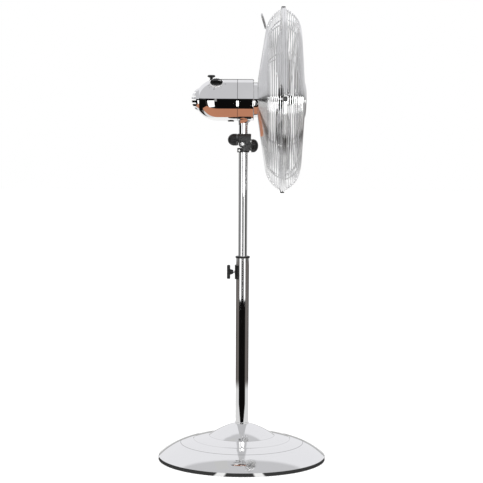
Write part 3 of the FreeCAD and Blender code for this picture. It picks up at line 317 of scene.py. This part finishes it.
MATERIALS = {
    "chrome": chrome("chrome"),
    "chrome_wire": chrome("chrome_wire", (0.05, 0.14), 0.00001, 40.0),
    "black_plastic": knit("black_plastic", 0.004, 0.010, (0.26, 0.42), 0.00004, fine=1500.0),
    "black_rubber": knit("black_rubber", 0.012, 0.026, (0.6, 0.8), 0.00008, fine=900.0),
    "steel": knit("zinc_steel", 0.42, 0.60, (0.22, 0.36), 0.00002, metallic=1.0, broad=160.0),
    "blade_metal": blade_metal(),
    "iron": knit("cast_iron", 0.05, 0.11, (0.55, 0.8), 0.0003, fine=500.0),
    "painted": knit("satin_paint", 0.012, 0.022, (0.3, 0.42), 0.00006, fine=420.0),
    "lamination": laminations("lamination"),
    "copper": windings(),
    "bronze": surface("bronze", ((0.42, 0.26, 0.10, 1), (0.6, 0.42, 0.18, 1)), (0.35, 0.5),
                      metallic=1.0, grain=0.00006)[0],
    "nylon": surface("nylon", ((0.70, 0.66, 0.56, 1), (0.82, 0.79, 0.71, 1)), (0.35, 0.5),
                     grain=0.00003, Subsurface_weight=0.05)[0],
}
BADGE_CHROME = spun_chrome("spun_chrome")
HOUSING_CHROME = chrome("housing_chrome", (0.008, 0.02), 0.000012, 14.0)
SATIN_CHROME = knit("satin_chrome", 0.82, 0.90, (0.50, 0.60), 0.00001, metallic=0.6)
BASE_CHROME = base_chrome()
PRINT = knit("grey_print", 0.10, 0.16, (0.45, 0.6), 0.00001)
WHITE_LINE = knit("white_line", 0.72, 0.84, (0.4, 0.55), 0.00001)


def dress_frame():
    """Gives every carried-over node its own finish, or else the material of its slot."""
    special = {"front_badge": BADGE_CHROME, "dial_bezel": SATIN_CHROME, "base_cover": BASE_CHROME,
               "rear_housing": HOUSING_CHROME, "front_housing": HOUSING_CHROME}
    for part in frame["record"]["subparts"]:
        node = frame["nodes"][part["node"]]
        material = special.get(part["node"], MATERIALS[part["material_slot"]])
        node.data.materials.clear()
        node.data.materials.append(material)


# ---- guard wires ---------------------------------------------------------------
class Outline:
    """Half outline of a guard: an arch from the rim, then a straight face."""

    def __init__(self, side, arch_r, start, rake):
        self.side = side
        self.arch_r = arch_r
        self.start = math.radians(start)
        self.rake = math.radians(rake)
        self.cx = RIM_X - side * arch_r * math.cos(self.start)
        self.cr = GUARD_R - arch_r * math.sin(self.start)

    def place(self, s, inset=0.0):
        """(x, radius) at the distance s from the rim, inset towards the blades."""
        radius = self.arch_r - inset
        turn = max(self.start - s / self.arch_r, self.rake)
        past = max(0.0, s - self.arch_length())
        x = self.cx + self.side * (radius * math.cos(turn) + past * math.sin(self.rake))
        return x, self.cr + radius * math.sin(turn) - past * math.cos(self.rake)

    def arch_length(self):
        return self.arch_r * (self.start - self.rake)

    def ring_places(self):
        """Distances of the rings from the rim: those on the arch, those on the face."""
        tangent = self.cr + self.arch_r * math.sin(self.rake)
        whole = self.arch_length() + (tangent - RING_INNER) / math.cos(self.rake)
        places = [RING_PITCH * i for i in range(1, int(whole / RING_PITCH) + 1)]
        arch = [s for s in places if s <= self.arch_length() + RING_PITCH / 2]
        return arch, places[len(arch):]


FRONT = Outline(*FRONT_ARCH)
REAR = Outline(*REAR_ARCH)


def mesh_piece(name, vertices, faces, material, body, slot):
    mesh = bpy.data.meshes.new(name)
    mesh.from_pydata(vertices, [], faces)
    mesh.polygons.foreach_set("use_smooth", [True] * len(mesh.polygons))
    mesh.materials.append(material)
    mesh.update()
    piece = link(name, mesh)
    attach(piece, body)
    return piece


def hoop(x, radius, wire, around=144, sides=12):
    """Vertices and faces of one round wire hoop about the motor's axis."""
    points, quads = [], []
    for i in range(around):
        turn = 2 * math.pi * i / around
        for k in range(sides):
            lean = 2 * math.pi * k / sides
            r = radius + wire * math.cos(lean)
            points.append((x + wire * math.sin(lean), r * math.sin(turn),
                           AXIS_Z + r * math.cos(turn)))
            here, there = i * sides, (i + 1) % around * sides
            quads.append((here + k, there + k, there + (k + 1) % sides, here + (k + 1) % sides))
    return points, quads


def joined(parts):
    """One vertex and face list from several."""
    points, faces = [], []
    for some_points, some_faces in parts:
        start = len(points)
        points += some_points
        faces += [tuple(start + i for i in face) for face in some_faces]
    return points, faces


def add_rings():
    wire, slot = MATERIALS["chrome_wire"], "chrome_wire"
    for name, outline in (("front_guard_rings", FRONT), ("rear_guard_rings", REAR)):
        hoops = [hoop(*outline.place(s), RING_R) for s in outline.ring_places()[1]]
        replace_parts(mesh_piece(name + "_wire", *joined(hoops), wire, "head", slot), name)
    hoops = []
    for outline in (FRONT, REAR):
        hoops.append(hoop(RIM_X + outline.side * (HOOP_R + HAIRLINE), GUARD_R, HOOP_R, 192, 16))
        hoops += [hoop(*outline.place(s), RING_R) for s in outline.ring_places()[0]]
    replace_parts(mesh_piece("guard_rims_wire", *joined(hoops), wire, "head", slot), "guard_rims")


def bead(centre, size):
    """Vertices and faces of a small ball, an icosahedron."""
    ball = bmesh.new()
    bmesh.ops.create_icosphere(ball, subdivisions=1, radius=size)
    points = [tuple(centre + v.co) for v in ball.verts]
    faces = [tuple(v.index for v in f.verts) for f in ball.faces]
    ball.free()
    return points, faces


def add_welds():
    """Spot welds where each ring crosses each rib."""
    random.seed(11)
    beads = []
    for outline in (FRONT, REAR):
        arch, face = outline.ring_places()
        for s in arch + face:
            x, r = outline.place(s, RING_R)
            for i in range(RIBS):
                turn = 2 * math.pi * i / RIBS
                centre = Vector((x, -r * math.sin(turn), AXIS_Z + r * math.cos(turn)))
                beads.append(bead(centre, random.uniform(*WELD_R)))
    mesh_piece("guard_welds", *joined(beads), MATERIALS["chrome_wire"], "head", "chrome_wire")


# ---- dial ------------------------------------------------------------------------
def on_housing(u, v, out=0.0):
    """Point on the housing: u along the axis from the dial, v up round the shell."""
    turn = math.radians(DIAL_TILT) - v / HOUSING_R
    r = HOUSING_R + out
    return DIAL_X + u, -r * math.sin(turn), AXIS_Z + r * math.cos(turn)


def numeral(text, angle):
    """A printed digit beside the dial, wrapped on the housing."""
    curve = bpy.data.curves.new("digit", "FONT")
    curve.body = text
    curve.size = DIGIT_SIZE
    curve.align_x, curve.align_y = "CENTER", "CENTER"
    curve.resolution_u = 4
    flat = link("digit", curve)
    bpy.context.view_layer.update()
    graph = bpy.context.evaluated_depsgraph_get()
    shape = bpy.data.meshes.new_from_object(flat.evaluated_get(graph))
    turn = math.radians(angle)
    cu, cv = NUMERAL_R * math.cos(turn), NUMERAL_R * math.sin(turn)
    points = [on_housing(cu + v.co.x, cv + v.co.y, PRINT_LIFT) for v in shape.vertices]
    faces = [tuple(p.vertices) for p in shape.polygons]
    bpy.data.objects.remove(flat)
    return points, faces


def tick(angle, near, far):
    """Short printed line beside the dial."""
    along = Vector((math.cos(math.radians(angle)), math.sin(math.radians(angle))))
    across = Vector((-along.y, along.x)) * TICK_HALF
    start, end = along * near, along * far
    corners = [start - across, end - across, end + across, start + across]
    return [on_housing(c.x, c.y, PRINT_LIFT) for c in corners], [(0, 1, 2, 3)]


def add_dial_marks():
    marks = []
    for i in range(4):
        angle = FIRST_NUMERAL - DETENT * i
        marks.append(numeral(str(i), angle))
        marks.append(tick(angle, DIAL_R + TICK[0], DIAL_R + TICK[1]))
    mesh_piece("dial_print", *joined(marks), PRINT, "head", "black_plastic")


def add_pointer():
    """White line on the dial's top, from its middle to its edge."""
    tilt = math.radians(DIAL_TILT)
    out = Vector((0, -math.sin(tilt), math.cos(tilt)))
    up = Vector((0, math.cos(tilt), math.sin(tilt)))
    node = frame["nodes"]["speed_dial"]
    centre = Vector((DIAL_X, 0, AXIS_Z))
    top = max((v.co - centre).dot(out) for v in node.data.vertices)
    angle = math.radians(FIRST_NUMERAL)
    along = Vector((1, 0, 0)) * math.cos(angle) + up * math.sin(angle)
    across = out.cross(along) * POINTER_HALF
    start, end = (centre + out * (top + POINTER_LIFT) + along * reach for reach in POINTER)
    rise = out * POINTER_THICK
    corners = [start - across, end - across, end + across, start + across]
    points = [tuple(c) for c in corners] + [tuple(c + rise) for c in corners]
    faces = [(3, 2, 1, 0), (4, 5, 6, 7), (0, 1, 5, 4), (1, 2, 6, 5), (2, 3, 7, 6), (3, 0, 4, 7)]
    mesh_piece("dial_pointer", points, faces, WHITE_LINE, "dial", "black_plastic")


# ---- small trim ----------------------------------------------------------------------
def band_about_x(x0, x1, inner, outer, z, around=96):
    """Flat ring about an axis along X at height z."""
    points, faces = [], []
    for i in range(around):
        turn = 2 * math.pi * i / around
        for x, r in ((x0, inner), (x0, outer), (x1, outer), (x1, inner)):
            points.append((x, r * math.sin(turn), z + r * math.cos(turn)))
        here, there = 4 * i, 4 * ((i + 1) % around)
        faces += [(here + k, there + k, there + (k + 1) % 4, here + (k + 1) % 4) for k in range(4)]
    return points, faces


def sharp(piece):
    """Shades a piece flat, so that its corners stay crisp."""
    for polygon in piece.data.polygons:
        polygon.use_smooth = False
    return piece


def add_seam():
    """Dark strip in the joint between the two halves of the housing, painted shade standing for the
    gap.
    """
    ring = band_about_x(SEAM_X - SEAM_HALF, SEAM_X + SEAM_HALF,
                        HOUSING_R - SEAM_DEPTH, HOUSING_R + PRINT_LIFT, AXIS_Z)
    mesh_piece("seam_shade_strip", *ring, MATERIALS["black_rubber"], "head", "black_rubber")


def add_knob_washer():
    """Plastic washer between the neck lock knob and the yoke."""
    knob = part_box("neck_lock_knob")
    middle = (knob[0].z + knob[1].z) / 2
    ring = band_about_x(*WASHER_X, *WASHER_R, middle, 64)
    plastic = "black_plastic"
    mesh_piece("neck_knob_washer", *ring, MATERIALS[plastic], "neck_lock", plastic)


def add_bracket_covers():
    """Moulded side covers of the tilt joint, outside the yoke and the socket."""
    for name, side in (("bracket_cover_left", -1), ("bracket_cover_right", 1)):
        low, high = side * COVER_Y, side * (COVER_Y + COVER_THICK)
        shell = bmesh.new()
        first = [shell.verts.new((x, low, z)) for x, z in COVER_OUTLINE]
        second = [shell.verts.new((x, high, z)) for x, z in COVER_OUTLINE]
        shell.faces.new(first)
        shell.faces.new(second[::-1])
        for k in range(len(first)):
            m = (k + 1) % len(first)
            shell.faces.new((first[k], second[k], second[m], first[m]))
        bmesh.ops.recalc_face_normals(shell, faces=shell.faces)
        edges = [e for e in shell.edges if all(abs(v.co.y - high) < 1e-6 for v in e.verts)]
        bmesh.ops.bevel(shell, geom=edges, offset=COVER_BEVEL, segments=3, profile=0.5,
                        affect="EDGES")
        points = [tuple(v.co) for v in shell.verts]
        faces = [tuple(v.index for v in f.verts) for f in shell.faces]
        shell.free()
        sharp(mesh_piece(name, points, faces, MATERIALS["black_plastic"], "neck", "black_plastic"))


# ---- studio ------------------------------------------------------------------------
# What polished parts mirror, by the angle round the fan in degrees: 0 is the viewer's side, + is
# the fan's front. Each row is (from, to, brightness); between rows the dark gap shows.
EYE_LEVEL = ((-180, -108, 0.46), (-106, -62, 0.18), (-15, -5, 0.34), (5, 17, 0.34), (54, 106, 0.10),
             (108, 180, 0.46))
TABLE = ((-127, -62, 0.15), (52, 128, 0.14))
RIM_GLINTS = ((-19, -12, 0.95), (9, 16, 0.95))
# Distances from the fan, in metres, over which one part of the mirrored floor gives way to the next.
RIM_END = (0.26, 0.28)
LIGHT_TABLE_END = (0.95, 1.15)
HALL_END = (5.0, 5.4)
BROWN = (0.52, 0.225, 0.13, 1)


def bands(n, turn, rows, soft=1.5, gap=0.004):
    """Brightness by angle from a list of (from, to, brightness), and gap between them."""
    value = gap
    for low, high, bright in rows:
        inside = n.math("MULTIPLY", n.between(turn, low - soft, low + soft),
                        n.math("SUBTRACT", 1.0, n.between(turn, high - soft, high + soft)))
        value = n.math("MULTIPLY_ADD", inside, bright - gap, value)
    return value


def turn_of(n, x, y):
    """Signed angle round the fan, in degrees from the viewer's side."""
    return n.math("MULTIPLY", n.math("ARCTAN2", x, n.math("MULTIPLY", y, -1.0)), 180 / math.pi)


def add_world():
    """White backdrop; polished parts mirror a studio with lamps, dark gaps and a grey ceiling."""
    world = bpy.data.worlds.new("studio")
    SCENE.world = world
    world.use_nodes = True
    n = Nodes(world.node_tree)
    out = n.add("ShaderNodeOutputWorld")
    where = n.add("ShaderNodeTexCoord")
    parts = n.add("ShaderNodeSeparateXYZ")
    n.wire(where.outputs["Generated"], parts.inputs["Vector"])
    turn = turn_of(n, parts.outputs["X"], parts.outputs["Y"])
    above = n.between(parts.outputs["Z"], 0.09, 0.12)
    ceiling = n.math("MULTIPLY_ADD", n.between(parts.outputs["Y"], 0.34, 0.44), 0.26, 0.60)
    mirrored = n.blend(above, grey_colour(n, bands(n, turn, EYE_LEVEL)),
                       grey_colour(n, ceiling, (0.99, 0.99, 1.02)))
    rays = n.add("ShaderNodeLightPath")
    colour = n.blend(rays.outputs["Is Glossy Ray"], rgb(1.0), mirrored)
    light = n.add("ShaderNodeBackground")
    n.wire(colour, light.inputs["Color"])
    n.wire(light.outputs["Background"], out.inputs["Surface"])


def floor_in_mirrors(n):
    """The floor as polished parts show it: glints by the base, a light table and a dark hall."""
    where = n.add("ShaderNodeNewGeometry")
    parts = n.add("ShaderNodeSeparateXYZ")
    n.wire(where.outputs["Position"], parts.inputs["Vector"])
    x, y = parts.outputs["X"], parts.outputs["Y"]
    turn = turn_of(n, x, y)
    side = n.math("ABSOLUTE", turn)
    reach = n.math("SQRT", n.math("ADD", n.math("MULTIPLY", x, x), n.math("MULTIPLY", y, y)))
    hall = grey_colour(n, bands(n, turn, TABLE, 4.0), (1.08, 0.98, 0.93))
    edge = n.spread(reach, 15.0, 58.0, 0.35, 0.75)
    beside = n.math("GREATER_THAN", side, edge)
    table = n.math("MULTIPLY", beside, n.math("SUBTRACT", 1.0, n.between(reach, *LIGHT_TABLE_END)))
    colour = n.blend(table, hall, rgb(0.74))
    colour = n.blend(n.between(side, 146.0, 156.0), colour, rgb(0.95))
    colour = n.blend(n.between(reach, *HALL_END), colour,
                     grey_colour(n, bands(n, turn, EYE_LEVEL)))
    rim = n.math("SUBTRACT", 1.0, n.between(reach, *RIM_END))
    rim = n.math("MULTIPLY", rim, n.math("SUBTRACT", 1.0, n.between(side, 85.0, 105.0)))
    return n.blend(rim, colour, grey_colour(n, bands(n, turn, RIM_GLINTS, 1.0, 0.045)))


def floor_material():
    """Pale floor, nearly as bright as the backdrop."""
    material, n, out = blank("floor")
    shown = n.add("ShaderNodeEmission")
    n.wire(floor_in_mirrors(n), shown.inputs["Color"])
    paper = n.add("ShaderNodeBsdfDiffuse")
    speckle = n.spread(n.noise(300.0, 3.0), 0.90, 0.94)
    n.wire(grey_colour(n, speckle), paper.inputs["Color"])
    glow = n.add("ShaderNodeEmission")
    glow.inputs["Strength"].default_value = 0.16
    lit = n.add("ShaderNodeAddShader")
    n.wire(paper.outputs[0], lit.inputs[0])
    n.wire(glow.outputs[0], lit.inputs[1])
    rays = n.add("ShaderNodeLightPath")
    mixed = n.add("ShaderNodeMixShader")
    n.wire(rays.outputs["Is Glossy Ray"], mixed.inputs[0])
    n.wire(lit.outputs[0], mixed.inputs[1])
    n.wire(shown.outputs[0], mixed.inputs[2])
    n.wire(mixed.outputs[0], out.inputs["Surface"])
    return material


def add_floor():
    size = 14.0
    mesh = bpy.data.meshes.new("floor")
    corners = [(-size, -size, 0), (size, -size, 0), (size, size, 0), (-size, size, 0)]
    mesh.from_pydata(corners, [], [(0, 1, 2, 3)])
    mesh.materials.append(floor_material())
    link("floor", mesh)


def add_sheet(name, corners, colour, strength):
    """Sheet that only polished surfaces see, and only from its front."""
    material, n, out = blank(name)
    shine = n.add("ShaderNodeEmission")
    shine.inputs["Color"].default_value = colour
    shine.inputs["Strength"].default_value = strength
    behind = n.add("ShaderNodeBsdfTransparent")
    face = n.add("ShaderNodeNewGeometry")
    mixed = n.add("ShaderNodeMixShader")
    n.wire(face.outputs["Backfacing"], mixed.inputs[0])
    n.wire(shine.outputs[0], mixed.inputs[1])
    n.wire(behind.outputs[0], mixed.inputs[2])
    n.wire(mixed.outputs[0], out.inputs["Surface"])
    mesh = bpy.data.meshes.new(name)
    mesh.from_pydata(corners, [], [(0, 1, 2, 3)])
    mesh.materials.append(material)
    sheet = link(name, mesh)
    sheet.visible_camera = False
    sheet.visible_diffuse = False
    sheet.visible_shadow = False


def add_card(name, turn, distance, half_width, z, strength):
    """Upright sheet facing the fan, turn degrees round it from the viewer; z is (low, high)."""
    angle = math.radians(turn)
    away = Vector((math.sin(angle), -math.cos(angle), 0))
    across = Vector((math.cos(angle), math.sin(angle), 0)) * half_width
    left, right = away * distance - across, away * distance + across
    corners = [(right.x, right.y, z[0]), (left.x, left.y, z[0]),
               (left.x, left.y, z[1]), (right.x, right.y, z[1])]
    add_sheet(name, corners, rgb(1.0), strength)


def add_shelf(name, x, y, z, colour, strength, under=False):
    """Level sheet, seen from above or from under it; x and y are (low, high)."""
    corners = [(x[0], y[0], z), (x[1], y[0], z), (x[1], y[1], z), (x[0], y[1], z)]
    add_sheet(name, corners[::-1] if under else corners, colour, strength)


def add_cards():
    """Lamps and slits on the viewer's side, flags round the motor and level sheets below it."""
    add_card("lamp_left", -37.0, 0.74, 0.22, (0.305, 0.826), 1.3)
    add_card("lamp_right", 36.0, 0.74, 0.20, (0.305, 0.826), 1.15)
    add_card("slit_left", -1.2, 0.80, 0.003, (0.305, 0.80), 3.0)
    add_card("slit_right", 2.2, 0.80, 0.003, (0.305, 0.80), 3.0)
    add_card("strip_lamp", 28.0, 1.00, 0.45, (0.60, 0.935), 6.5)
    add_card("flag", -171.0, 0.13, 0.075, (0.925, 1.01), 0.20)
    add_card("tail_flag", -90.0, 0.20, 0.10, (0.775, 0.885), 0.004)
    # painted reflections: glowing sheets that only polished parts see, grey below and behind the tail,
    # brown under the housing
    add_shelf("tail_reflection_sheet", (-0.28, -0.14), (-0.14, 0.14), 0.770, rgb(0.60), 1.0, under=True)
    add_shelf("brown_reflection_sheet", (-0.20, 0.045), (-0.099, -0.0077), 0.790, BROWN, 1.0)


def add_light(name, at, towards, size, power):
    data = bpy.data.lights.new(name, "AREA")
    data.size = size
    data.energy = power
    lamp = link(name, data)
    lamp.location = at
    lamp.rotation_euler = (Vector(towards) - Vector(at)).to_track_quat("-Z", "Y").to_euler()
    lamp.visible_glossy = False


def add_lights():
    add_light("key", (-1.6, -2.2, 2.6), (0, 0, 0.6), 1.4, 26)
    add_light("fill", (2.2, -1.6, 1.6), (0, 0, 0.6), 1.6, 12)
    add_light("top", (0, 0.4, 3.0), (0, 0, 0), 1.8, 18)


add_camera()
dress_frame()
add_rings()
add_welds()
add_dial_marks()
add_pointer()
add_seam()
add_knob_washer()
add_bracket_covers()
add_world()
add_floor()
add_cards()
add_lights()
SCENE.view_settings.view_transform = "Standard"
